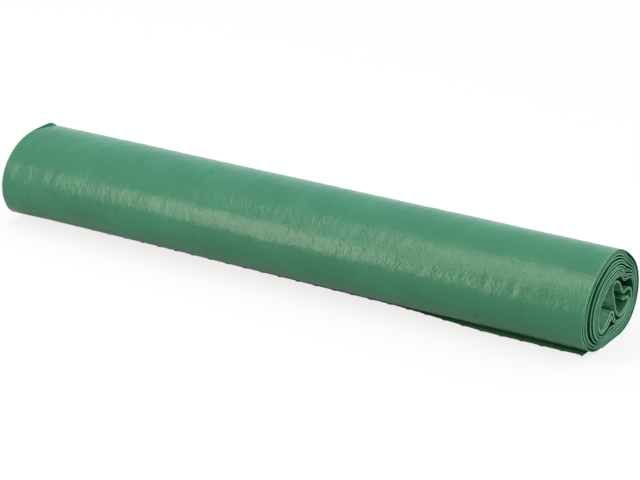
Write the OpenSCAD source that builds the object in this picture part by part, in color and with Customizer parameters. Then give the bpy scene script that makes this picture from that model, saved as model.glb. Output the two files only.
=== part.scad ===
// Bin bag roll: a strip of perforated refuse sacks wound up without a core.
// The film is one strip from its crumpled inner end to its torn outer end, so it is one solid.
// X runs along the roll, Y from its front to its back, Z up, and the table is at Z = 0.
// All sizes are in millimetres. The roll rests on the flat spot that its own weight pressed into it.

/* [Roll] */
// Length of the roll, which is the width of a folded sack
roll_l = 350; // [250:5:450]
// Width of the outline that the outermost turn follows, front to back
roll_w = 64.5; // [60:0.5:72]
// Height of that outline, with the roll at rest
roll_h = 48.5; // [45:0.5:54]
// How far the front and back lean in towards the top, as a share of the radius
loaf_taper = 0.05; // [0.03:0.005:0.06]
// How much of the underside the table has pressed flat
flat_depth = 0.5; // [0.3:0.1:0.8]

/* [Turns] */
// Number of turns around the crumpled middle, each a bundle of the real thin turns
turns = 7; // [6:1:7]
// Thickness of a turn at the back and underneath, where the roll is tight
tight_wall = 0.5; // [0.4:0.05:0.55]
// Thickness of a turn at the front and on top, where the roll has come loose
loose_wall = 1; // [0.7:0.1:1.1]
// How many times wider the widest gap between turns is than the narrowest one
widest_gap = 3; // [2:0.25:3.5]
// Where the widest gap lies, as a share of the way from the inner turn to the outer one
widest_gap_at = 0.5; // [0.4:0.05:0.65]

/* [Crumpled middle] */
// Thickness of the innermost film, which is crumpled inside the turns
core_wall = 0.8; // [0.5:0.1:0.9]
// Depth of the dent at the upper back of the inner turns
dent_depth = 3.6; // [2:0.2:4]
// Width of that dent, in degrees of the turn
dent_spread = 15; // [12:1:20]

/* [Ends] */
// How far the turns wander sideways, which leaves their edges uneven
end_wander = 0.4; // [0:0.1:1.5]
// How far the outermost turn stops short of the others at the left end
left_short = 2.4; // [1:0.2:4]
// How far the left end falls back at the top, where its outer turns have shifted
left_fall = 4.4; // [0:0.2:6]
// How far the edge of the outer turn is lifted at the top of the left end
edge_lift = 1.2; // [0:0.2:2]

/* [Torn end] */
// How far the flap stops short of the turns at the right end
flap_short = 3; // [1:0.2:5]
// How far in front of the middle the torn edge lies on the table at the right end
flap_right = 20.6; // [18:0.2:24]
// How far in front of the middle the torn edge lies at the left end, hidden under the roll
flap_left = 13.2; // [12:0.2:14]
// Distance from one torn perforation to the next
tooth_pitch = 11; // [8:0.5:16]
// Height of the small teeth that the perforation leaves
tooth_h = 0.9; // [0.4:0.1:1.4]

/* [Hidden] */
film_color = [0.16, 0.46, 0.30];

// The turns start at the lower front and end under the roll, where the torn flap leaves them
start_angle = 197;
flap_angle = -114;
last_turn = turns - (flap_angle + 360 - start_angle) / 360;
points_a_turn = 54;
loose_phase = 0.18;
squareness = 0.011;
oval = (roll_w - roll_h) / (roll_w + roll_h);
dent_angle = 42;
dent_way = [cos(50), sin(50)];
fall_angle = 82;
fall_spread = 38;
lift_angle = 72;
lift_spread = 16;
lift_length = 14;

// Sideways wander of the film's two edges: degrees run through in a turn, and degrees at the start
left_wander = [196, 40];
right_wander = [231, 255];
wander_out = 0.35;

// The flap's torn edge: how far it slants, and where along the roll it steps out
flap_slant = 3;
flap_step_at = 0.66;
flap_step_length = 0.2;
root_gap = 0.5;
points_a_tooth = 4;

// The innermost full turn without its dent, one point every ring_step degrees, from the front over the top
ring_step = 20;
INNER_RING = [
    [-12.3, 18.5], [-11, 22.8], [-8, 26.5], [-3.5, 29.5], [1.5, 31.2], [6.8, 32],
    [12.4, 31.2], [17.4, 29.2], [22.8, 26], [26, 20.5], [25.5, 14.4], [21.2, 9.3],
    [14.6, 6.5], [8, 5.6], [2, 5.6], [-3.5, 6.1], [-8.8, 7.8], [-11.8, 12.2]
];

// The crumpled strip inside that turn, from its inner end outwards
crumple_steps = 3;
CRUMPLE = [
    [13, 19.4], [15.2, 17.4], [18.6, 17.6], [21.2, 16.4], [21.8, 13.8], [19.4, 11.4],
    [15.4, 10.1], [11.6, 10.2], [8.8, 11.8], [6.6, 15], [5, 19], [3.6, 23], [2.2, 26.4],
    [2.8, 29], [5.8, 29.9], [9, 28.7], [11.2, 26], [12.8, 22.8], [15.4, 20.9],
    [18.6, 21.4], [21.6, 21.2], [23.8, 19.2], [24.2, 15.4], [22.4, 11.8], [18.8, 9.2],
    [14.4, 8], [10.4, 7.9], [7.2, 9], [4.9, 11.6], [3.2, 14.5], [1.2, 14.5],
    [-1.6, 12.6], [-5, 10.4], [-8.2, 9.4], [-10.6, 10.6]
];
DRAWN_AT = [64, 48];

function mix(a, b, f) = a + (b - a) * f;
function ease(f) = f <= 0 ? 0 : f >= 1 ? 1 : f * f * (3 - 2 * f);
function bell(x) = exp(-x * x);
function fitted(p) = [p.x * roll_w / DRAWN_AT.x, p.y * roll_h / DRAWN_AT.y];

// Smooth curve past the points a, b, c and d, at b where f = 0 and at c where f = 1
function between(a, b, c, d, f) =
    b + 0.5 * f * ((c - a) + f * ((2 * a - 5 * b + 4 * c - d) + f * (3 * (b - c) + d - a)));

function ring_point(angle) =
    let (
        n = len(INNER_RING),
        turned = (180 - angle) / ring_step,
        i = floor(turned),
        p = [for (k = [-1:2]) INNER_RING[((i + k) % n + n) % n]]
    )
    fitted(between(p[0], p[1], p[2], p[3], turned - i));

// Outline of the roll's section before it is brought to size, and how far that reaches each way
function loaf_shape(angle) =
    (1 + oval * cos(2 * angle) - loaf_taper * sin(3 * angle) + squareness * cos(4 * angle))
    * [cos(angle), sin(angle)];
loaf_reach = max([for (a = [0:359]) loaf_shape(a).x]);
loaf_top = max([for (a = [0:359]) loaf_shape(a).y]);
loaf_bottom = min([for (a = [0:359]) loaf_shape(a).y]);

// Middle of the outermost layer, pressed flat where it meets the table
function loaf_point(angle, wall) =
    let (p = loaf_shape(angle), up = (p.y - loaf_bottom) / (loaf_top - loaf_bottom))
    [
        (roll_w - wall) / 2 * p.x / loaf_reach,
        max(wall / 2, mix(wall / 2 - flat_depth, roll_h - wall / 2, up))
    ];

// The same angle, counted from where the flap leaves
function in_turn(angle) = angle - 360 * floor((angle - flap_angle) / 360);

// 1 where the roll is loose, at the front and on top, and 0 where it is tight
function looseness(angle) =
    let (a = in_turn(angle))
    min(ease((a - 25) / 60), ease((238 - a) / 50));

function turn_wall(angle) = mix(tight_wall, loose_wall, looseness(angle));

// Gap outside turn k on the loose side, and the sum of the gaps outside the first n turns
function gap(k) = 1 + (widest_gap - 1) * bell(((k + 0.5) / (turns - 1) - widest_gap_at) / 0.2);
function gap_sum(n) = n <= 0 ? 0 : gap(n - 1) + gap_sum(n - 1);

// How far the strip has got, t turns out, from the inner ring to the outermost layer
function spread(t, angle) =
    let (
        k = min(turns - 1, max(0, t - loose_phase)),
        whole = floor(k),
        loose = (gap_sum(whole) + (k - whole) * gap(whole)) / gap_sum(turns - 1)
    )
    mix(t / last_turn, loose, looseness(angle));

function turn_point(t) =
    let (
        angle = start_angle - 360 * t,
        s = spread(t, angle),
        dent = dent_depth * bell((in_turn(angle) - dent_angle) / dent_spread) * pow(1 - s, 2)
    )
    mix(ring_point(angle), loaf_point(angle, turn_wall(angle)), s) - dent * dent_way;

// The whole strip as points along its middle: the crumple first, then the turns
crumple_ends = [each [for (p = CRUMPLE) fitted(p)], turn_point(0), turn_point(1 / points_a_turn)];
crumple_count = len(CRUMPLE) * crumple_steps;
turn_count = round(last_turn * points_a_turn);
strip = [
    for (i = [0:crumple_count - 1])
        let (k = floor(i / crumple_steps))
        between(
            crumple_ends[max(0, k - 1)], crumple_ends[k], crumple_ends[k + 1], crumple_ends[k + 2],
            i / crumple_steps - k
        ),
    for (i = [0:turn_count]) turn_point(last_turn * i / turn_count)
];
last = len(strip) - 1;

// How many turns out point i of the strip lies, below 0 in the crumple
function turn_at(i) = (i - crumple_count) * last_turn / turn_count;

function wall_at(i) =
    let (t = turn_at(i))
    t < 0
        ? mix(turn_wall(start_angle), core_wall, ease(-3 * t))
        : turn_wall(start_angle - 360 * t);

function outward(i) =
    let (d = strip[min(last, i + 1)] - strip[max(0, i - 1)])
    i == last ? [0, -1] : [-d.y, d.x] / norm(d);

// 0 in the inner turns and 1 in the outermost one
function outermost(i) = ease((turn_at(i) - last_turn + 1.1) * 5);

// 1 where point i of the strip lies at an angle round the roll, and fading out from there
function near_angle(i, angle, width) = bell((in_turn(start_angle - 360 * turn_at(i)) - angle) / width);

// How far the left end falls back there, which the inner turns do less than the outer ones
function fall(i) =
    turn_at(i) < 0
        ? 0
        : left_fall * near_angle(i, fall_angle, fall_spread)
            * pow(spread(turn_at(i), start_angle - 360 * turn_at(i)), 2);

// How far the edges of the film lie inside the length of the roll, at the left and the right end
function wander(t, course) = end_wander * (1 + sin(course[0] * t + course[1]));
function left_inset(i) = wander(turn_at(i), left_wander) + left_short * outermost(i) + fall(i);
function right_inset(i) =
    wander(turn_at(i), right_wander) + flap_short * ease(1 + (turn_at(i) - last_turn) / wander_out);

function lift(i) = edge_lift * outermost(i) * near_angle(i, lift_angle, lift_spread);

// Four points on one side of the film at point i of the strip, from the left end to the right end
stations = 4;
function across_roll(i, side) =
    let (
        p = strip[i] + side * wall_at(i) / 2 * outward(i),
        up = p + lift(i) * outward(i),
        left = -roll_l / 2 + left_inset(i),
        right = roll_l / 2 - right_inset(i)
    )
    [[left, up.x, up.y], [left + lift_length, p.x, p.y], [0, p.x, p.y], [right, p.x, p.y]];

// The flap: its root is a straight row of points, its torn edge is skewed and toothed
flap_points = points_a_tooth * round(roll_l / tooth_pitch);
flap_x0 = -roll_l / 2 + left_inset(last);
flap_x1 = roll_l / 2 - right_inset(last);
flap_root = -strip[last].x + root_gap;
function flap_front(f) =
    flap_left + flap_slant * f
    + (flap_right - flap_left - flap_slant) * ease((f - flap_step_at) / flap_step_length);
function flap_x(k) = mix(flap_x0, flap_x1, k / flap_points);
function torn_point(k) =
    [flap_x(k), -flap_front(k / flap_points) - tooth_h * (1 - cos(360 * k / points_a_tooth)) / 2];

// Number of the flap point nearest to station j
station_x = [for (p = across_roll(last, 1)) p.x];
function flap_at(j) = round(flap_points * (station_x[j] - flap_x0) / (flap_x1 - flap_x0));

// Points: outer side and inner side by turns along the strip, then the four rows of the flap
film_points = [
    for (i = [0:last]) each concat(across_roll(i, 1), across_roll(i, -1)),
    for (z = [0, tight_wall], k = [0:flap_points]) [flap_x(k), -flap_root, z],
    for (z = [0, tight_wall], k = [0:flap_points]) [torn_point(k).x, torn_point(k).y, z]
];
function outer(i, j) = 2 * stations * i + j;
function inner(i, j) = 2 * stations * i + stations + j;
function flap(row, k) = 2 * stations * (last + 1) + row * (flap_points + 1) + k;

function quad(a, b, c, d) = [[a, b, c], [a, c, d]];

// Fan from stations j and j + 1 of the strip to the row of the flap that starts below them
function fan(a, b, row, j) =
    let (k0 = flap_at(j), k1 = flap_at(j + 1), middle = floor((k0 + k1) / 2))
    [
        for (k = [k0:1:middle - 1]) [a, flap(row, k), flap(row, k + 1)],
        [a, flap(row, middle), b],
        for (k = [middle:1:k1 - 1]) [b, flap(row, k), flap(row, k + 1)]
    ];
function turned_over(faces) = [for (f = faces) [f[0], f[2], f[1]]];

film_faces = [
    for (i = [0:last - 1], j = [0:stations - 2])
        each concat(
            quad(outer(i, j), outer(i + 1, j), outer(i + 1, j + 1), outer(i, j + 1)),
            quad(inner(i, j), inner(i, j + 1), inner(i + 1, j + 1), inner(i + 1, j))
        ),
    for (i = [0:last - 1], j = stations - 1)
        each concat(
            quad(outer(i, 0), inner(i, 0), inner(i + 1, 0), outer(i + 1, 0)),
            quad(outer(i, j), outer(i + 1, j), inner(i + 1, j), inner(i, j))
        ),
    for (j = [0:stations - 2])
        each concat(
            quad(outer(0, j), outer(0, j + 1), inner(0, j + 1), inner(0, j)),
            fan(outer(last, j), outer(last, j + 1), 0, j),
            turned_over(fan(inner(last, j), inner(last, j + 1), 1, j))
        ),
    for (k = [0:flap_points - 1])
        each concat(
            quad(flap(0, k), flap(2, k), flap(2, k + 1), flap(0, k + 1)),
            quad(flap(1, k), flap(1, k + 1), flap(3, k + 1), flap(3, k)),
            quad(flap(2, k), flap(3, k), flap(3, k + 1), flap(2, k + 1))
        ),
    for (k = [0, flap_points], j = k == 0 ? 0 : stations - 1)
        let (
            side = concat(
                quad(outer(last, j), inner(last, j), flap(1, k), flap(0, k)),
                quad(flap(0, k), flap(1, k), flap(3, k), flap(2, k))
            )
        )
        each k == 0 ? side : turned_over(side)
];

module bag_roll()
    color(film_color)
    polyhedron(film_points, film_faces, convexity = 20);

bag_roll();
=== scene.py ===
import math

import bpy
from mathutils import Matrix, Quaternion, Vector


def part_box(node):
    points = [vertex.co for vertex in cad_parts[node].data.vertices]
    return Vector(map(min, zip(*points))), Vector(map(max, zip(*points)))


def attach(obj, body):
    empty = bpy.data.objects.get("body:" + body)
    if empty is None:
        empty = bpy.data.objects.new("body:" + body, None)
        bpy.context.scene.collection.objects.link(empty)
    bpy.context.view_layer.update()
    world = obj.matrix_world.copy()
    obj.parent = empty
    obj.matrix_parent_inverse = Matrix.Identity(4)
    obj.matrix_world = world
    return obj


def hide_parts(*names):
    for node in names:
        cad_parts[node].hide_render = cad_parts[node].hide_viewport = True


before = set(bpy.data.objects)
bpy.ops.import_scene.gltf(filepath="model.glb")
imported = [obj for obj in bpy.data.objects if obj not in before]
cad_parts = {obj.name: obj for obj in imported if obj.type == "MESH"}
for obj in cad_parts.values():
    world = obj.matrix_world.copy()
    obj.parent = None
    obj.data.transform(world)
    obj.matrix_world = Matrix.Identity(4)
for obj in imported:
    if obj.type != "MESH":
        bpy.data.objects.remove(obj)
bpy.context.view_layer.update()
scene = bpy.context.scene
scene.view_settings.view_transform = "Standard"

# Camera
# It stands to the right of the roll's middle and looks down along its length at a flat angle.
# The lens is long, so the two ends of the roll look almost equally wide.
CAMERA_AT = (0.60599, -0.95673, 0.47424)
CAMERA_TURN = math.radians(31.93)
CAMERA_DOWN = math.radians(22.0)
CAMERA_LENS = 132.53
CAMERA_SENSOR = 36.0
CAMERA_NEAR = 0.01

camera_data = bpy.data.cameras.new("camera")
camera_data.lens = CAMERA_LENS
camera_data.sensor_width = CAMERA_SENSOR
camera_data.clip_start = CAMERA_NEAR
camera = bpy.data.objects.new("camera", camera_data)
camera.location = CAMERA_AT
camera.rotation_euler = (math.pi / 2 - CAMERA_DOWN, 0, CAMERA_TURN)
scene.collection.objects.link(camera)
scene.camera = camera

# Path of the film
# The sacks are one strip of film, folded lengthwise and wound up without a core. The innermost film lies
# crumpled in the middle. The turns are tight at the back and underneath, and loose at the front and on top.

# The film's sizes are in millimetres. Angles are in degrees round the roll's section, from the back over the
# top. A place on the strip is told by how many turns out it lies, with the crumple below 0.
MM = 0.001
FILM_NODE = "bag_roll"
FILM_BODY = "root"

# Section of the whole roll: an oval that tapers upwards, a little square, and pressed flat underneath
ROLL_LENGTH = (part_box(FILM_NODE)[1].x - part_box(FILM_NODE)[0].x) / MM
ROLL_WIDTH = 64.5
ROLL_HEIGHT = 48.5
LOAF_TAPER = 0.05
SQUARENESS = 0.011
FLAT_DEPTH = 0.5

# The turns go from the end of the crumple to the place where the flap leaves the roll
TURNS = 7
START_ANGLE = 197
FLAP_ANGLE = -114
LAST_TURN = TURNS - (FLAP_ANGLE + 360 - START_ANGLE) / 360

# Thickness of the modelled strip where it lies tight, where it lies loose, and in the crumple, to which it
# changes over a third of a turn
TIGHT_WALL = 0.5
LOOSE_WALL = 1.0
CORE_WALL = 0.8
CORE_FADE = 3

# Angles between which the turns lie loose, how far it takes them to come loose and tight again, and how many
# turns out the first gap opens
LOOSE_FROM = 25
LOOSE_FROM_FADE = 60
LOOSE_TO = 238
LOOSE_TO_FADE = 50
LOOSE_PHASE = 0.18

# The widest gap against the narrowest, and the share of the way out at which it lies
WIDEST_GAP = 3.0
WIDEST_GAP_AT = 0.5
WIDEST_GAP_SPREAD = 0.2

# A dent at the upper back, which presses through from turn to turn and fades outwards
DENT_DEPTH = 3.6
DENT_SPREAD = 15
DENT_ANGLE = 42
DENT_WAY = Vector((math.cos(math.radians(50)), math.sin(math.radians(50))))

# Size of the roll for which the points below are given
DRAWN_WIDTH = 64
DRAWN_HEIGHT = 48

# The innermost full turn, one point every 20 degrees from the front over the top
INNER_RING = [
    (-12.3, 18.5), (-11, 22.8), (-8, 26.5), (-3.5, 29.5), (1.5, 31.2), (6.8, 32),
    (12.4, 31.2), (17.4, 29.2), (22.8, 26), (26, 20.5), (25.5, 14.4), (21.2, 9.3),
    (14.6, 6.5), (8, 5.6), (2, 5.6), (-3.5, 6.1), (-8.8, 7.8), (-11.8, 12.2),
]

# The crumpled film inside that turn, from its inner end outwards
CRUMPLE = [
    (13, 19.4), (15.2, 17.4), (18.6, 17.6), (21.2, 16.4), (21.8, 13.8), (19.4, 11.4),
    (15.4, 10.1), (11.6, 10.2), (8.8, 11.8), (6.6, 15), (5, 19), (3.6, 23), (2.2, 26.4),
    (2.8, 29), (5.8, 29.9), (9, 28.7), (11.2, 26), (12.8, 22.8), (15.4, 20.9),
    (18.6, 21.4), (21.6, 21.2), (23.8, 19.2), (24.2, 15.4), (22.4, 11.8), (18.8, 9.2),
    (14.4, 8), (10.4, 7.9), (7.2, 9), (4.9, 11.6), (3.2, 14.5), (1.2, 14.5),
    (-1.6, 12.6), (-5, 10.4), (-8.2, 9.4), (-10.6, 10.6),
]


def mix(a, b, share):
    return a + (b - a) * share


def ease(share):
    share = min(1, max(0, share))
    return share * share * (3 - 2 * share)


def bell(distance):
    return math.exp(-distance * distance)


def fitted(point):
    return Vector((point[0] * ROLL_WIDTH / DRAWN_WIDTH, point[1] * ROLL_HEIGHT / DRAWN_HEIGHT))


def between(a, b, c, d, share):
    """Smooth curve past four points, at b where share is 0 and at c where it is 1."""
    bend = 2 * a - 5 * b + 4 * c - d + share * (3 * (b - c) + d - a)
    return b + 0.5 * share * (c - a + share * bend)


def ring_point(angle):
    steps = (180 - angle) / (360 / len(INNER_RING))
    first = math.floor(steps)
    near = [fitted(INNER_RING[(first + k) % len(INNER_RING)]) for k in (-1, 0, 1, 2)]
    return between(*near, steps - first)


def loaf_shape(angle):
    a = math.radians(angle)
    oval = (ROLL_WIDTH - ROLL_HEIGHT) / (ROLL_WIDTH + ROLL_HEIGHT)
    reach = 1 + oval * math.cos(2 * a) - LOAF_TAPER * math.sin(3 * a) + SQUARENESS * math.cos(4 * a)
    return Vector((reach * math.cos(a), reach * math.sin(a)))


LOAF_REACH = max(loaf_shape(a).x for a in range(360))
LOAF_TOP = max(loaf_shape(a).y for a in range(360))
LOAF_BOTTOM = min(loaf_shape(a).y for a in range(360))


def loaf_point(angle, wall):
    """Middle of the outermost turn, pressed flat where it meets the table."""
    shape = loaf_shape(angle)
    up = (shape.y - LOAF_BOTTOM) / (LOAF_TOP - LOAF_BOTTOM)
    height = mix(wall / 2 - FLAT_DEPTH, ROLL_HEIGHT - wall / 2, up)
    return Vector(((ROLL_WIDTH - wall) / 2 * shape.x / LOAF_REACH, max(wall / 2, height)))


def in_turn(angle):
    return angle - 360 * math.floor((angle - FLAP_ANGLE) / 360)


def looseness(angle):
    loosened = ease((in_turn(angle) - LOOSE_FROM) / LOOSE_FROM_FADE)
    return min(loosened, ease((LOOSE_TO - in_turn(angle)) / LOOSE_TO_FADE))


def turn_wall(angle):
    return mix(TIGHT_WALL, LOOSE_WALL, looseness(angle))


def gap(turn):
    way_out = (turn + 0.5) / (TURNS - 1)
    return 1 + (WIDEST_GAP - 1) * bell((way_out - WIDEST_GAP_AT) / WIDEST_GAP_SPREAD)


def spread(turn, angle):
    """How far the strip has got from the inner ring, at 0, to the outermost turn, at 1."""
    passed = min(TURNS - 1, max(0, turn - LOOSE_PHASE))
    whole = math.floor(passed)
    gaps = sum(gap(k) for k in range(whole)) + (passed - whole) * gap(whole)
    loose = gaps / sum(gap(k) for k in range(TURNS - 1))
    return mix(turn / LAST_TURN, loose, looseness(angle))


def turn_point(turn):
    angle = START_ANGLE - 360 * turn
    s = spread(turn, angle)
    dent = DENT_DEPTH * bell((in_turn(angle) - DENT_ANGLE) / DENT_SPREAD) * (1 - s) ** 2
    return mix(ring_point(angle), loaf_point(angle, turn_wall(angle)), s) - dent * DENT_WAY


def room_inside(turn):
    """Free width between a turn and the next one in, at the same angle."""
    apart = (turn_point(turn) - turn_point(turn - 1)).length
    return max(0, apart - turn_wall(START_ANGLE - 360 * turn))


# Loose layers beside the crumple: at which of its points, over how many points, and how far they reach
CRUMPLE_LAYERS_INWARD = [(5, 2, 2.2), (31, 3, 0.8)]
CRUMPLE_LAYERS_OUTWARD = [(25, 3, 1.0), (31, 2.5, 2.8)]
LEAST_REACH = 0.2

# Loose layers inside the first turn: at which part of it, over how much of it, and how far they reach
FIRST_LAYERS_AT = 0.8
FIRST_LAYERS_SPREAD = 0.06
FIRST_LAYERS_REACH = 2.6

# Loose layers in the gaps between turns: first the share that the turn inside the gap fills, then the share
# that the turn outside it fills. At the top the two fill each gap more evenly.
FILLED_GAPS = [(0.3, 0.2), (0.3, 0.2), (0.5, 0), (0.1, 0.2), (0.1, 0.3), (0, 0.1), (0, 0)]
FROM_INSIDE, FROM_OUTSIDE = 0, 1
FILLED_EVENLY = 0.5
FILLED_AT_TOP = 0.7
FILLED_ANGLE = 78
FILLED_SPREAD = 34


def crumple_layers(k, places):
    return sum(reach * bell((k - at) / width) for at, width, reach in places) + LEAST_REACH


def filled_share(gap_at, side, evenly):
    """Share of a gap that loose layers fill from one side of it."""
    first = min(len(FILLED_GAPS) - 2, math.floor(gap_at))
    share = mix(FILLED_GAPS[first][side], FILLED_GAPS[first + 1][side], ease(gap_at - first))
    return mix(share, FILLED_EVENLY, evenly)


def loose_layers(turn):
    """How far the loose layers beside the film reach, inward and outward."""
    if turn < 0:
        k = turn * len(INNER_RING) + len(CRUMPLE)
        return crumple_layers(k, CRUMPLE_LAYERS_INWARD), crumple_layers(k, CRUMPLE_LAYERS_OUTWARD)
    inward = LEAST_REACH + FIRST_LAYERS_REACH * bell((turn - FIRST_LAYERS_AT) / FIRST_LAYERS_SPREAD)
    outward = 0
    evenly = FILLED_AT_TOP * bell((in_turn(START_ANGLE - 360 * turn) - FILLED_ANGLE) / FILLED_SPREAD)
    if turn >= 1:
        inward = filled_share(turn - 1, FROM_OUTSIDE, evenly) * room_inside(turn)
    if turn <= LAST_TURN - 1:
        outward = filled_share(turn, FROM_INSIDE, evenly) * room_inside(turn + 1)
    return inward, outward


def crumple_part(steps):
    """Points of the crumple, each with how many turns out it lies, which is below 0."""
    # The first two points of the turns follow, so that the curve runs on into them
    points = [fitted(point) for point in CRUMPLE] + [turn_point(0), turn_point(0.02)]
    count = len(CRUMPLE) * steps
    part = []
    for i in range(count):
        k = i // steps
        near = (points[max(0, k - 1)], points[k], points[k + 1], points[k + 2])
        part.append(((i - count) / steps / len(INNER_RING), between(*near, i / steps - k)))
    return part


def turns_part(first, last, points_a_turn):
    """Points of the turns from one to another, each with how many turns out it lies."""
    count = round((last - first) * points_a_turn)
    turns = [mix(first, last, i / count) for i in range(count + 1)]
    return [(turn, turn_point(turn)) for turn in turns]


PATH_KEYS = (
    "turn", "angle", "wall", "outer", "arc", "flap", "inward", "outward", "path_y", "path_z", "out_y", "out_z"
)


def path_mesh(name, part, flap_rows=0):
    """A row of points, each with what the tree below needs to know there."""
    rows = []
    arc = 0
    for i, (turn, point) in enumerate(part):
        before = part[max(0, i - 1)][1]
        way = (part[min(len(part) - 1, i + 1)][1] - before).normalized()
        arc += (point - before).length
        angle = START_ANGLE - 360 * turn
        wall = turn_wall(angle)
        if turn < 0:
            wall = mix(turn_wall(START_ANGLE), CORE_WALL, ease(-CORE_FADE * turn))
        outer = spread(turn, angle) if turn > 0 else 0
        place = (point.x, point.y, -way.y, way.x)
        rows.append((turn, in_turn(angle), wall, outer, arc, 0, *loose_layers(turn), *place))
    for i in range(flap_rows):
        place = (part[-1][1].x, TIGHT_WALL / 2, 0, -1)
        rows.append((LAST_TURN, FLAP_ANGLE, TIGHT_WALL, 1, arc + i, (i + 1) / flap_rows, 0, 0, *place))
    mesh = bpy.data.meshes.new(name)
    mesh.from_pydata([(0, 0, 0)] * len(rows), [], [])
    for key, numbers in zip(PATH_KEYS, zip(*rows)):
        mesh.attributes.new(key, "FLOAT", "POINT").data.foreach_set("value", numbers)
    return mesh


# Winding of the film
# The film is a tube of polyethylene pressed flat, so the tree makes each layer as a flattened tube along the
# path. A turn in the model stands for about ten real ones, and is shown as a bundle of a few layers.
# The edges of the layers wander, since nothing guides the film while it is wound.


class Field:
    """A value in a node tree, so that a formula of such values reads as one."""

    def __init__(self, tree, socket):
        self.tree = tree
        self.socket = socket

    def math(self, operation, *others):
        inputs = dict(enumerate((self, *others)))
        return add_node(self.tree, "ShaderNodeMath", inputs=inputs, operation=operation)

    def __add__(self, other):
        return self.math("ADD", other)

    def __sub__(self, other):
        return self.math("SUBTRACT", other)

    def __mul__(self, other):
        return self.math("MULTIPLY", other)

    def __truediv__(self, other):
        return self.math("DIVIDE", other)

    def __rsub__(self, other):
        return self * -1 + other

    __radd__ = __add__
    __rmul__ = __mul__

    def power(self, exponent):
        return self.math("POWER", exponent)

    def ease(self):
        """0 below 0, 1 above 1 and smooth between."""
        return add_node(
            self.tree, "ShaderNodeMapRange", inputs={"Value": self}, interpolation_type="SMOOTHSTEP"
        )

    def bell(self):
        """1 at 0, and down to almost nothing at 2 and at -2."""
        return (self * self * -1).math("EXPONENT")

    def near(self, value, width):
        """1 at one value, and down to almost nothing at twice the width from it."""
        return ((self - value) / width).bell()


def put(tree, place, value):
    """Links a field to a socket, or sets a plain value on it."""
    if isinstance(value, Field):
        tree.links.new(value.socket, place)
    else:
        place.default_value = value


def add_node(tree, kind, output=0, inputs=(), **settings):
    """Adds a node with its settings and inputs, and gives one of its outputs."""
    node = tree.nodes.new(kind)
    for key, value in settings.items():
        setattr(node, key, value)
    for key, value in dict(inputs).items():
        put(tree, node.inputs[key], value)
    return Field(tree, node.outputs[output])


def vector(tree, x, y=0.0, z=0.0):
    return add_node(tree, "ShaderNodeCombineXYZ", inputs={0: x, 1: y, 2: z})


def noise(tree, place, detail=2.0):
    """Smooth noise round 0, from about -0.5 to 0.5, with a grain of about one unit of place."""
    inputs = {"Vector": place, "Scale": 1.0, "Detail": detail, "Roughness": 0.5}
    return add_node(tree, "ShaderNodeTexNoise", inputs=inputs) - 0.5


def mixed_color(tree, color, other, share):
    """One colour, or the other where the share is 1."""
    node = tree.nodes.new("ShaderNodeMix")
    node.data_type = "RGBA"
    for key, value in ((0, share), (6, color), (7, other)):
        put(tree, node.inputs[key], value)
    return Field(tree, node.outputs[2])


def kept_on(tree, geometry, name, value, kind="FLOAT", domain="POINT"):
    """The geometry with a value stored on it under a name."""
    inputs = {"Geometry": geometry, "Name": name, "Value": value}
    return add_node(
        tree, "GeometryNodeStoreNamedAttribute", inputs=inputs, data_type=kind, domain=domain
    )


# Sizes of a wound film, in millimetres unless they are counts or shares
FILM_SIZES = {
    "Stations": ("Int", 14),
    "Crowding": ("Float", 2.4),
    "Layers": ("Int", 4),
    "Lowest layer": ("Float", 0.0),
    "Highest layer": ("Float", 1.0),
    "Highest layer outside": ("Float", 0.42),
    "Loose layers": ("Float", 0.0),
    "Film share": ("Float", 0.85),
    "Left wander": ("Float", 0.1),
    "Right wander": ("Float", 0.1),
    "Layer wander": ("Float", 0.3),
    "Left short": ("Float", 0.0),
    "Left short at the top": ("Float", 0.0),
    "Flap short": ("Float", 4.0),
    "Edge lift": ("Float", 0.0),
    "Shade between turns": ("Float", 0.0),
    "Ripple": ("Float", 0.0),
    "Tooth pitch": ("Float", 11.0),
    "Tooth height": ("Float", 0.8),
    "Seed": ("Float", 3.0),
}

# The strip counts as outermost from a little before its last turn, and as near the flap just before its end.
# Both are told in turns, and a fade of 5 takes a fifth of a turn.
OUTERMOST_FROM = 1.1
OUTERMOST_FADE = 5
NEAR_FLAP = 0.02

# Both edges of the strip wander in a wave: degrees of it for each turn, and degrees at the start
LEFT_WANDER = (196, 40)
RIGHT_WANDER = (231, 255)

# Each layer strays on its own, along the roll and across the bundle
STRAY_LENGTH = 14
STRAY_A_LAYER = 5.3
STRAY_HELD_OUTSIDE = 0.7
SWAY = 2.2
SWAY_LENGTH = 60
SWAY_A_LAYER = 3.1
SWAY_START = 7

# The outer turns fall back at the left, and the outermost film stops shorter still on top
LEFT_FALL = 5.4
FALL_ANGLE = 76
FALL_SPREAD = 38
TOP_SHORT_ANGLE = 82
TOP_SHORT_SPREAD = 20

# The edge that this uncovers is lifted, with a valley beside it
LIFT_ANGLE = 72
LIFT_SPREAD = 16
LIFT_LENGTH = 2.0
VALLEY_AT = 4.3
VALLEY_LENGTH = 1.4
VALLEY_DEPTH = 2.0

# The outer turns sink unevenly, and the outermost film ripples
SINKING = 0.4
SINKING_LENGTH = 45
SINKING_ANGLE = 40
NOT_SUNK = 0.4
RIPPLE_LENGTH = 5
RIPPLE_ANGLE = 34
RIPPLE_SLANT = 70

# The roll bulges low at the front, at the lower back and at the lower left corner
BELLY = 0.7
BELLY_ANGLE = 226
BELLY_SPREAD = 12
HEEL = 0.9
HEEL_ANGLE = -38
HEEL_SPREAD = 18
CORNER = 1.3
CORNER_ANGLE = 212
CORNER_SPREAD = 12
CORNER_LENGTH = 18

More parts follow.
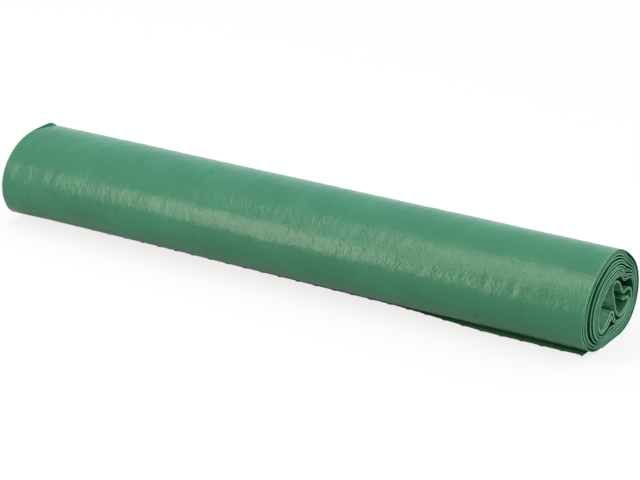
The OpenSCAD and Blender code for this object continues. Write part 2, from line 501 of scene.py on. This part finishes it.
# The hollow in the crumple closes: the fold behind it shifts forward, and the slope below it rises
HOLLOW_Y = 4
HOLLOW_Z = 20
HOLLOW_WIDTH = 7
HOLLOW_SHIFT = 5.5
HOLLOW_DEPTH = 7
SLOPE_Y = -3
SLOPE_Z = 12
SLOPE_WIDTH = 6
SLOPE_RISE = 6

# The torn edge reaches further forward at the right, with a step, ragged teeth and a curl at the right end
FLAP_LEFT = 13.2
FLAP_RIGHT = 20.6
FLAP_SLANT = 3
FLAP_STEP_AT = 0.66
FLAP_STEP_LENGTH = 0.2
RAGGED = 0.9
RAGGED_LENGTH = 2.5
CURL = 0.8
CURL_LENGTH = 16
CURL_SLOT = 3
CURLED_PART = 6

# Nothing sinks into the table, or into the film that lies on it
UNDERSIDE = 0.24
LEAST_HALF_LAYER = 0.05
MERGED_WITHIN = 0.0001 * MM

# Where the film looks different: its lip, the painted shade between turns, the painted shade at the back of
# the outermost turn, the torn edge and the flap, which are painted lighter, and the crumple
LIP_START = 1.2
LIP_WIDTH = 0.6
SHADE_TURNS = 0.4
SHADE_START = 1.5
SHADE_WIDTH = 20
PAINTED_SHADE_BEHIND = 0.5
BEHIND_ANGLE = 10
BEHIND_SPREAD = 45
TORN_EDGE_WIDTH = 0.25
TORN_EDGE_FADE = 8
OFF_THE_FLAP = 4
CRUMPLED_FADE = 3


def outer_shape(tree, x, angle):
    """How far the outer turns sink below the even loaf, which hands have pressed out of shape."""
    place = vector(tree, x / SINKING_LENGTH, angle / SINKING_ANGLE)
    return SINKING * (noise(tree, place, detail=1.0) - NOT_SUNK)


def fine_ripple(tree, x, angle, seed):
    """Shallow ripples of the outermost film, long round the roll and short along it, from -1 to 0."""
    place = vector(tree, x / RIPPLE_LENGTH + angle / RIPPLE_SLANT, angle / RIPPLE_ANGLE, seed)
    return noise(tree, place, detail=1.5) - 0.5


def wander(turn, course):
    return 1 + (turn * math.radians(course[0]) + math.radians(course[1])).math("SINE")


def wound_film_tree():
    """Tree that turns a path into film: flattened tubes along it, in several layers."""
    tree = bpy.data.node_groups.new("wound film", "GeometryNodeTree")
    tree.interface.new_socket(name="Path", in_out="INPUT", socket_type="NodeSocketGeometry")
    tree.interface.new_socket(name="Material", in_out="INPUT", socket_type="NodeSocketMaterial")
    tree.interface.new_socket(name="Film", in_out="OUTPUT", socket_type="NodeSocketGeometry")
    for name, (kind, value) in FILM_SIZES.items():
        socket = tree.interface.new_socket(name=name, in_out="INPUT", socket_type=f"NodeSocket{kind}")
        socket.default_value = value
    group = tree.nodes.new("NodeGroupInput")
    path = Field(tree, group.outputs["Path"])
    size = {name: Field(tree, group.outputs[name]) for name in FILM_SIZES}

    # A tube with one ring of points for each point of the path, and two points for each station
    rings = add_node(tree, "GeometryNodeAttributeDomainSize", inputs={0: path})
    stations = size["Stations"]
    tube = {"Vertices": stations * 2, "Side Segments": rings - 1}
    film = add_node(tree, "GeometryNodeMeshCylinder", inputs=tube, fill_type="NONE")
    index = add_node(tree, "GeometryNodeInputIndex")
    ring = ((index + 0.5) / (stations * 2)).math("FLOOR")
    place = index - ring * (stations * 2)
    below = place.math("GREATER_THAN", stations - 0.5)
    even = (below * (place - stations) + (1 - below) * (stations - 1 - place)) / (stations - 1)
    from_left = even.power(size["Crowding"])
    from_right = (1 - even).power(size["Crowding"])
    along = from_left / (from_left + from_right)
    at_an_end = ring.math("LESS_THAN", 0.5) + ring.math("GREATER_THAN", rings - 1.5)
    film = kept_on(tree, film, "ring", ring)
    film = kept_on(tree, film, "along", along)
    film = kept_on(tree, film, "side", (1 - below * 2) * (1 - at_an_end))

    # The layers are copies of that tube, told apart by their number
    film = add_node(tree, "GeometryNodeGeometryToInstance", inputs={0: film})
    inputs = {"Geometry": film, "Amount": size["Layers"]}
    film = add_node(tree, "GeometryNodeDuplicateElements", inputs=inputs, domain="INSTANCE")
    number = Field(tree, film.socket.node.outputs["Duplicate Index"])
    film = kept_on(tree, film, "layer", number, domain="INSTANCE")
    film = add_node(tree, "GeometryNodeRealizeInstances", inputs={0: film})

    # What each point needs to know of itself and of the path
    ring, along, side, layer = (
        add_node(tree, "GeometryNodeInputNamedAttribute", inputs={"Name": name})
        for name in ("ring", "along", "side", "layer")
    )
    known = {}
    for name in PATH_KEYS:
        value = add_node(tree, "GeometryNodeInputNamedAttribute", inputs={"Name": name})
        known[name] = add_node(tree, "GeometryNodeSampleIndex", inputs={0: path, 1: value, 2: ring})
    turn, angle, wall, arc, flap = (known[name] for name in ("turn", "angle", "wall", "arc", "flap"))
    outer, path_y, path_z = (known[name] for name in ("outer", "path_y", "path_z"))
    outermost = ((turn - (LAST_TURN - OUTERMOST_FROM)) * OUTERMOST_FADE).ease()

    # Along the roll: the edges wander, the outermost turn is short at the left and the flap at the right
    stray = noise(tree, vector(tree, arc / STRAY_LENGTH, layer * STRAY_A_LAYER, size["Seed"])) + 0.5
    stray = stray * size["Layer wander"]
    fall = LEFT_FALL * angle.near(FALL_ANGLE, FALL_SPREAD) * outer.power(2)
    inner_left = wander(turn, LEFT_WANDER) * size["Left wander"] + fall
    short = size["Left short"] + size["Left short at the top"] * angle.near(TOP_SHORT_ANGLE, TOP_SHORT_SPREAD)
    left = inner_left + stray * (1 - outermost * STRAY_HELD_OUTSIDE) + outermost * short
    near_flap = (1 + (turn - LAST_TURN) / NEAR_FLAP).ease()
    right = wander(turn, RIGHT_WANDER) * size["Right wander"] + stray + near_flap * size["Flap short"]
    x = left - ROLL_LENGTH / 2 + along * (ROLL_LENGTH - left - right)

    # Across the film: the layers share the thickness of the bundle, and don't lie quite evenly in it
    highest = size["Highest layer"] + outermost * (size["Highest layer outside"] - size["Highest layer"])
    highest = highest * wall + size["Loose layers"] * known["outward"]
    lowest = size["Lowest layer"] * wall - size["Loose layers"] * known["inward"]
    slot = (highest - lowest) / size["Layers"]
    sway = noise(tree, vector(tree, arc / STRAY_LENGTH, layer * SWAY_A_LAYER + SWAY_START, x / SWAY_LENGTH))
    sway = sway * (1 - size["Film share"]) * SWAY
    middle = lowest + slot * (layer + 0.5 + sway)
    offset = middle - wall / 2 + side * slot * size["Film share"] / 2

    # Out of the even shape: the lifted edge, the dents and bulges of handling and the film's own ripples
    from_edge = x + ROLL_LENGTH / 2 - inner_left
    valley = VALLEY_DEPTH * from_edge.near(VALLEY_AT, VALLEY_LENGTH)
    lift = ((1 - from_edge / LIFT_LENGTH).ease() - valley) * size["Edge lift"] * outermost
    lift = lift * angle.near(LIFT_ANGLE, LIFT_SPREAD)
    dents = outer_shape(tree, x, angle) * outer.power(3) * wall
    ripple = size["Ripple"] * fine_ripple(tree, x, angle, size["Seed"]) * wall
    belly = BELLY * angle.near(BELLY_ANGLE, BELLY_SPREAD)
    heel = HEEL * angle.near(HEEL_ANGLE, HEEL_SPREAD)
    corner = CORNER * (angle.near(CORNER_ANGLE, CORNER_SPREAD) * (from_edge / CORNER_LENGTH).bell())
    bulges = (belly + heel + corner) * outer.power(4)
    out = offset + (lift + dents + ripple + bulges) * (1 - flap)

    # The hollow in the middle is open at the ends only, and closes a little way in
    to_edge = along.math("MINIMUM", 1 - along) * ROLL_LENGTH
    deep = (to_edge / HOLLOW_DEPTH).ease() * (1 - outer).power(6)
    hollow = path_y.near(HOLLOW_Y, HOLLOW_WIDTH) * path_z.near(HOLLOW_Z, HOLLOW_WIDTH)
    closed = HOLLOW_SHIFT * hollow * deep
    slope = path_y.near(SLOPE_Y, SLOPE_WIDTH) * path_z.near(SLOPE_Z, SLOPE_WIDTH)
    risen = SLOPE_RISE * slope * deep

    # The torn end lies on the table in a skewed line, with a tooth for each perforation
    share = (x + ROLL_LENGTH / 2) / ROLL_LENGTH
    step = ((share - FLAP_STEP_AT) / FLAP_STEP_LENGTH).ease() * (FLAP_RIGHT - FLAP_LEFT - FLAP_SLANT)
    tooth = (((x / size["Tooth pitch"]).math("FRACT") - 0.5) * size["Tooth pitch"]).bell()
    ragged = RAGGED * noise(tree, vector(tree, x / RAGGED_LENGTH, layer), detail=3.0)
    front = FLAP_LEFT + FLAP_SLANT * share + step + tooth * size["Tooth height"] + ragged
    y = path_y + known["out_y"] * out - closed
    y = y - flap * (front + y)
    curl = flap.power(2) * CURL * (noise(tree, vector(tree, x / CURL_LENGTH, CURL_SLOT)) + 0.5)
    curl = curl * (share * CURLED_PART - (CURLED_PART - 1)).ease()
    z = path_z + known["out_z"] * out + curl + risen
    on_the_table = side * LEAST_HALF_LAYER + TIGHT_WALL
    z = z.math("MAXIMUM", (path_z - UNDERSIDE).math("MINIMUM", on_the_table))
    inputs = {"Geometry": film, "Position": vector(tree, x * MM, y * MM, z * MM)}
    film = add_node(tree, "GeometryNodeSetPosition", inputs=inputs)

    # What the material needs to know of each point
    lip = outermost * (LIP_START - from_edge / LIP_WIDTH).ease()
    # Painted shade between the turns, fading in from the ends and left off the lifted lip
    painted_shade_between_turns = (turn / SHADE_TURNS).ease() * (1 - lip) * (SHADE_START - to_edge / SHADE_WIDTH).ease()
    painted_shade_between_turns = painted_shade_between_turns * size["Shade between turns"]
    # Painted shade: at the back of the outermost turn the light edge colour is taken off, as that side lies
    # in shadow
    behind = outermost * angle.near(BEHIND_ANGLE, BEHIND_SPREAD) * (1 - flap) * PAINTED_SHADE_BEHIND
    # Painted light: the flap takes the light edge colour, as if the white table's light came through the film
    # lying in the roll's shade
    flap_glow_distance = (1 - flap) * TORN_EDGE_WIDTH + (1 - flap * TORN_EDGE_FADE).ease() * OFF_THE_FLAP
    film = kept_on(tree, film, "place", vector(tree, x, arc, angle), kind="FLOAT_VECTOR")
    film = kept_on(tree, film, "edge", to_edge.math("MINIMUM", flap_glow_distance) + behind)
    film = kept_on(tree, film, "between turns", painted_shade_between_turns)
    film = kept_on(tree, film, "crumpled", (turn * -CRUMPLED_FADE).ease())
    inputs = {"Geometry": film, "Distance": MERGED_WITHIN}
    film = add_node(tree, "GeometryNodeMergeByDistance", inputs=inputs)
    inputs = {"Geometry": film, "Material": Field(tree, group.outputs["Material"])}
    film = add_node(tree, "GeometryNodeSetMaterial", inputs=inputs)
    put(tree, tree.nodes.new("NodeGroupOutput").inputs[0], film)
    return tree


WOUND_FILM = wound_film_tree()


def wind(name, path, sizes):
    """Winds film along the points of a path, and gives it as an object with a plain mesh."""
    film = bpy.data.objects.new(name, path)
    scene.collection.objects.link(film)
    modifier = film.modifiers.new("wound film", "NODES")
    modifier.node_group = WOUND_FILM
    sockets = {item.name: item.identifier for item in WOUND_FILM.interface.items_tree}
    modifier[sockets["Material"]] = FILM_MATERIAL
    for key, value in sizes.items():
        modifier[sockets[key]] = value
    depsgraph = bpy.context.evaluated_depsgraph_get()
    mesh = bpy.data.meshes.new_from_object(
        film.evaluated_get(depsgraph), preserve_all_data_layers=True, depsgraph=depsgraph
    )
    film.modifiers.remove(modifier)
    film.data = mesh
    mesh.name = name
    mesh.polygons.foreach_set("use_smooth", [True] * len(mesh.polygons))
    mesh.set_sharp_from_angle(angle=math.radians(60))
    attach(film, FILM_BODY)
    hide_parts(FILM_NODE)
    return film


# Film material
# Low-density polyethylene film, dyed green through and through. It is satin to glossy and a little milky,
# and carries fine creases across the roll from winding, and coarser ones where hands have held it.
DARKEST_GREEN = (0.030, 0.192, 0.102, 1)
LIGHTEST_GREEN = (0.055, 0.300, 0.166, 1)
GREEN_AT_RIGHT = (0.038, 0.250, 0.110, 1)
# Painted shade for the film between the turns, where little light reaches
PAINTED_SHADE_GREEN = (0.015, 0.130, 0.065, 1)
GREEN_IN_PLEATS = (0.16, 0.42, 0.20, 1)
# Partly the milky look of cut film, partly painted glow of the light that the film carries to its edges
MILKY_AND_PAINTED_GLOW_GREEN = (0.20, 0.54, 0.30, 1)
DIRT = (0.01, 0.03, 0.02, 1)
CUT_EDGE_WIDTH = 0.4
ROUGHNESS = 0.22
REFRACTION = 1.44
GLOSS = 0.5
GLOSS_LOST_TO_PAINTED_SHADE = 0.42

# Height of each kind of relief over all of the film
SWELLS = 0.26
WRINKLES = 0.16
CREASES = 0.06
GRAIN = 0.15
PLEATS = 0.5

CREASED = [
    # Along the roll, angle, half length, half angle, slant in mm for each degree, pitch and height
    (-117, 157, 10, 22, 0.02, 1.5, 0.55),
    (-82, 156, 4, 15, -0.12, 0.8, 0.25),
    (4, 108, 7, 22, -0.24, 1.3, 0.70),
    (10, 139, 14, 6, 0.10, 2.2, 0.80),
    (-16, 142, 18, 4, 0.15, 1.6, 0.70),
    (74, 167, 11, 9, -0.22, 1.4, 0.22),
    (112, 166, 24, 8, -0.40, 1.8, 0.10),
    (150, 200, 16, 14, 0.05, 2.5, 0.35),
]

# Specks of dirt: where along the roll, and at which angle
SPECKS = [(-51.5, 108), (40, 156), (53, 160), (61.5, 169), (117.5, 199), (133.5, 90)]
SPECK_LENGTH = 0.5
SPECK_ANGLE = 0.8


def film_material():
    material = bpy.data.materials.new("green film")
    material.use_nodes = True
    tree = material.node_tree
    tree.nodes.clear()
    place = add_node(tree, "ShaderNodeAttribute", "Vector", attribute_name="place")
    parts = add_node(tree, "ShaderNodeSeparateXYZ", inputs={0: place}).socket.node.outputs
    x, arc, angle = (Field(tree, socket) for socket in parts)
    painted_shade_between_turns, crumpled, edge = (
        add_node(tree, "ShaderNodeAttribute", "Fac", attribute_name=name)
        for name in ("between turns", "crumpled", "edge")
    )

    # Colour: an even green with faint clouds and streaks across the roll. The numbers that x and arc are
    # divided by, here and in the relief, are the size of a pattern in millimetres
    clouds = noise(tree, vector(tree, x / 30, arc / 24), detail=3.0)
    streaks = noise(tree, vector(tree, x / 1.8, arc / 16), detail=3.0)
    ramp = add_node(tree, "ShaderNodeValToRGB", inputs={0: clouds * 0.8 + streaks * 0.4 + 0.45})
    stops = ramp.socket.node.color_ramp.elements
    stops[0].position = 0.10
    stops[0].color = DARKEST_GREEN
    stops[1].position = 0.90
    stops[1].color = LIGHTEST_GREEN

    # The colour is a little less blue towards the right. Painted shade darkens the film between the turns,
    # where little light reaches. The crumpled middle is lighter and yellower in patches. The cut edges are
    # lighter, partly as milky cut film and partly as painted glow, and the torn flap is painted lighter as if
    # the white table's light came through it
    pleats = noise(tree, vector(tree, x / 9, arc / 1.3))
    color = mixed_color(tree, ramp, GREEN_AT_RIGHT, (x / 150).ease() * 0.5)
    color = mixed_color(tree, color, PAINTED_SHADE_GREEN, painted_shade_between_turns)
    color = mixed_color(tree, color, GREEN_IN_PLEATS, crumpled * (pleats * 2.4 + 0.45).ease())
    # Lighter at the cut edges: milky cut film and painted glow
    color = mixed_color(tree, color, MILKY_AND_PAINTED_GLOW_GREEN, (1 - edge / CUT_EDGE_WIDTH).ease() * 0.95)
    dirt = sum(x.near(at, SPECK_LENGTH) * angle.near(turned, SPECK_ANGLE) for at, turned in SPECKS)
    color = mixed_color(tree, color, DIRT, dirt.math("MINIMUM", 0.9))

    # Relief: swells, slanting wrinkles, creases across the roll, a fine grain and the creased places
    swells = noise(tree, vector(tree, x / 11 + arc / 18, arc / 14))
    wrinkles = noise(tree, vector(tree, x / 3 + arc / 10, arc / 7), detail=3.0)
    creases = noise(tree, vector(tree, x / 1.6, arc / 14))
    grain = noise(tree, vector(tree, x / 1.3, arc / 1.8), detail=3.0)
    height = swells * SWELLS + wrinkles * WRINKLES + creases * CREASES + grain * GRAIN
    height = height + pleats * crumpled * PLEATS
    for at, turned, half_length, half_angle, slant, pitch, high in CREASED:
        across = (x - (angle - turned) * slant) / pitch
        ridges = noise(tree, vector(tree, across, arc / (5 * pitch), at), detail=1.0)
        held = x.near(at, half_length) * angle.near(turned, half_angle)
        height = height + ridges * held * high
    relief = add_node(
        tree, "ShaderNodeBump", inputs={"Height": height, "Strength": 1.0, "Distance": MM}
    )
    # The gloss is lowered between the turns as painted shade in the reflections
    inputs = {
        "Base Color": color,
        "Normal": relief,
        "Specular IOR Level": GLOSS - painted_shade_between_turns * GLOSS_LOST_TO_PAINTED_SHADE,
        "Roughness": ROUGHNESS,
        "IOR": REFRACTION,
    }
    shader = add_node(tree, "ShaderNodeBsdfPrincipled", inputs=inputs)
    put(tree, tree.nodes.new("ShaderNodeOutputMaterial").inputs[0], shader)
    return material


FILM_MATERIAL = film_material()

# Inner turns
# All turns of the strip and its crumpled end in the middle, in bundles of two layers. They can be seen
# only at the two ends, so the mesh has few points along the roll, and most of those near its ends.
inner_path = path_mesh("inner path", crumple_part(6) + turns_part(0, LAST_TURN, 120))
inner_turns = wind("inner_turns", inner_path, {
    "Stations": 20,
    "Crowding": 3.0,
    "Layers": 2,
    "Highest layer outside": 0.25,
    "Loose layers": 1.0,
    "Film share": 0.5,
    "Layer wander": 0.9,
    "Edge lift": 1.4,
    "Shade between turns": 1.0,
})

# Outer sack
# The sack on the outside, wound once round the roll. It stops short of the others at the left end, most of
# all on top, where the edge of the turn below stands up. It carries the ripples and dents of handling.
outer_path = path_mesh("outer path", turns_part(LAST_TURN - 1.04, LAST_TURN, 200))
outer_sack = wind("outer_sack", outer_path, {
    "Stations": 220,
    "Crowding": 1.0,
    "Layers": 1,
    "Lowest layer": 0.72,
    "Highest layer": 0.98,
    "Highest layer outside": 0.98,
    "Film share": 0.95,
    "Left short": 0.7,
    "Left short at the top": 4.8,
    "Ripple": 0.5,
})

# Torn end
# The end of the strip comes out from under the roll as a flap. It was torn along a perforation, which
# leaves a small stretched tooth wherever the film had held between two cuts.
torn_path = path_mesh("torn path", turns_part(LAST_TURN - 0.03, LAST_TURN, 200), flap_rows=8)
torn_end = wind("torn_end", torn_path, {
    "Stations": 500,
    "Crowding": 1.0,
    "Layers": 3,
    "Highest layer outside": 0.95,
    "Left short": 2.4,
})

# Floor
# A plain white surface, which keeps the soft shadow of the roll and looks white to the camera. It is dimmer
# in the gloss of the film, as the table in front of the roll is in the photograph. Its size is in metres.
FLOOR_SIZE = 6.0
FLOOR_WHITE = 0.8
FLOOR_IN_GLOSS = 0.15
FLOOR_ALBEDO = 0.70
FLOOR_ALBEDO_SEEN = 0.9
WHITE = (1, 1, 1, 1)


def seen_directly(tree, in_gloss=1.0):
    """1 where the camera sees a surface directly or through something clear, and a share of it in gloss."""
    rays = tree.nodes.new("ShaderNodeLightPath").outputs
    seen = Field(tree, rays["Is Camera Ray"]).math("MAXIMUM", Field(tree, rays["Is Transmission Ray"]))
    return seen.math("MAXIMUM", Field(tree, rays["Is Glossy Ray"]) * in_gloss)


half = FLOOR_SIZE / 2
corners = [(-half, -half, 0), (half, -half, 0), (half, half, 0), (-half, half, 0)]
floor_mesh = bpy.data.meshes.new("floor")
floor_mesh.from_pydata(corners, [], [(0, 1, 2, 3)])
floor = bpy.data.objects.new("floor", floor_mesh)
scene.collection.objects.link(floor)
floor_material = bpy.data.materials.new("white floor")
floor_material.use_nodes = True
floor_tree = floor_material.node_tree
floor_tree.nodes.clear()
seen = seen_directly(floor_tree, FLOOR_IN_GLOSS / FLOOR_WHITE)
grey = FLOOR_ALBEDO + seen * (FLOOR_ALBEDO_SEEN - FLOOR_ALBEDO)
lit = add_node(floor_tree, "ShaderNodeBsdfDiffuse", inputs={"Color": vector(floor_tree, grey, grey, grey)})
glow = add_node(floor_tree, "ShaderNodeEmission", inputs={"Color": WHITE, "Strength": 1.0})
blend = add_node(floor_tree, "ShaderNodeMixShader", inputs={0: seen * FLOOR_WHITE, 1: lit, 2: glow})
put(floor_tree, floor_tree.nodes.new("ShaderNodeOutputMaterial").inputs[0], blend)
floor_mesh.materials.append(floor_material)

# Lamps
# The white room is brightest above and behind the roll. Four soft boxes stand at the left front and draw the
# two bands of gloss along the roll: the low and the left one draw the lower band, the high and the middle
# one the upper band. A broad one at the right lights the right end. Places and sizes are in metres.
ROOM_UP = 1.35
ROOM_BACK = 1.0
ROOM_TINT = (0.94, 1.0, 1.09, 1)
world = bpy.data.worlds.new("white room")
world.use_nodes = True
world_tree = world.node_tree
world_tree.nodes.clear()
way = add_node(world_tree, "ShaderNodeTexCoord", "Generated")
way = add_node(world_tree, "ShaderNodeSeparateXYZ", inputs={0: way}).socket.node.outputs
room_light = Field(world_tree, way["Z"]) * ROOM_UP + Field(world_tree, way["Y"]) * ROOM_BACK
seen = seen_directly(world_tree)
strength = seen + (1 - seen) * room_light.math("MAXIMUM", 0.0)
room_color = mixed_color(world_tree, ROOM_TINT, WHITE, seen_directly(world_tree, in_gloss=0.0))
room = add_node(world_tree, "ShaderNodeBackground", inputs={"Color": room_color, "Strength": strength})
put(world_tree, world_tree.nodes.new("ShaderNodeOutputWorld").inputs[0], room)
scene.world = world


def soft_box(name, at, aim, width, height, radiance, color, lean=0):
    """A rectangular lamp at one point, turned to another, with a given brightness of its face."""
    data = bpy.data.lights.new(name, "AREA")
    data.shape = "RECTANGLE"
    data.size = width
    data.size_y = height
    data.energy = radiance * math.pi * width * height
    data.color = color
    box = bpy.data.objects.new(name, data)
    box.location = at
    turned = (Vector(aim) - Vector(at)).to_track_quat("-Z", "Y")
    box.rotation_euler = (turned @ Quaternion((0, 0, 1), math.radians(lean))).to_euler()
    scene.collection.objects.link(box)


LOW_COLOR = (1.0, 0.87, 0.68)
HIGH_COLOR = (1.0, 0.89, 0.67)
soft_box("low soft box", (-0.505, -0.76, 0.48), (0, 0, 0.03), 0.24, 0.62, 6.0, LOW_COLOR, lean=22)
soft_box("left soft box", (-0.64, -0.60, 0.58), (-0.1, 0, 0.03), 0.16, 0.30, 1.2, LOW_COLOR, lean=22)
soft_box("high soft box", (-0.26, -0.28, 0.91), (0.08, 0, 0.03), 0.28, 0.32, 4.4, HIGH_COLOR, lean=-20)
soft_box("middle soft box", (-0.30, -0.52, 0.80), (0.08, 0, 0.03), 0.20, 0.18, 4.8, HIGH_COLOR)
soft_box("right soft box", (1.2, -0.6, 0.6), (0.17, 0, 0.03), 0.8, 0.8, 0.6, (1.0, 1.0, 1.0))
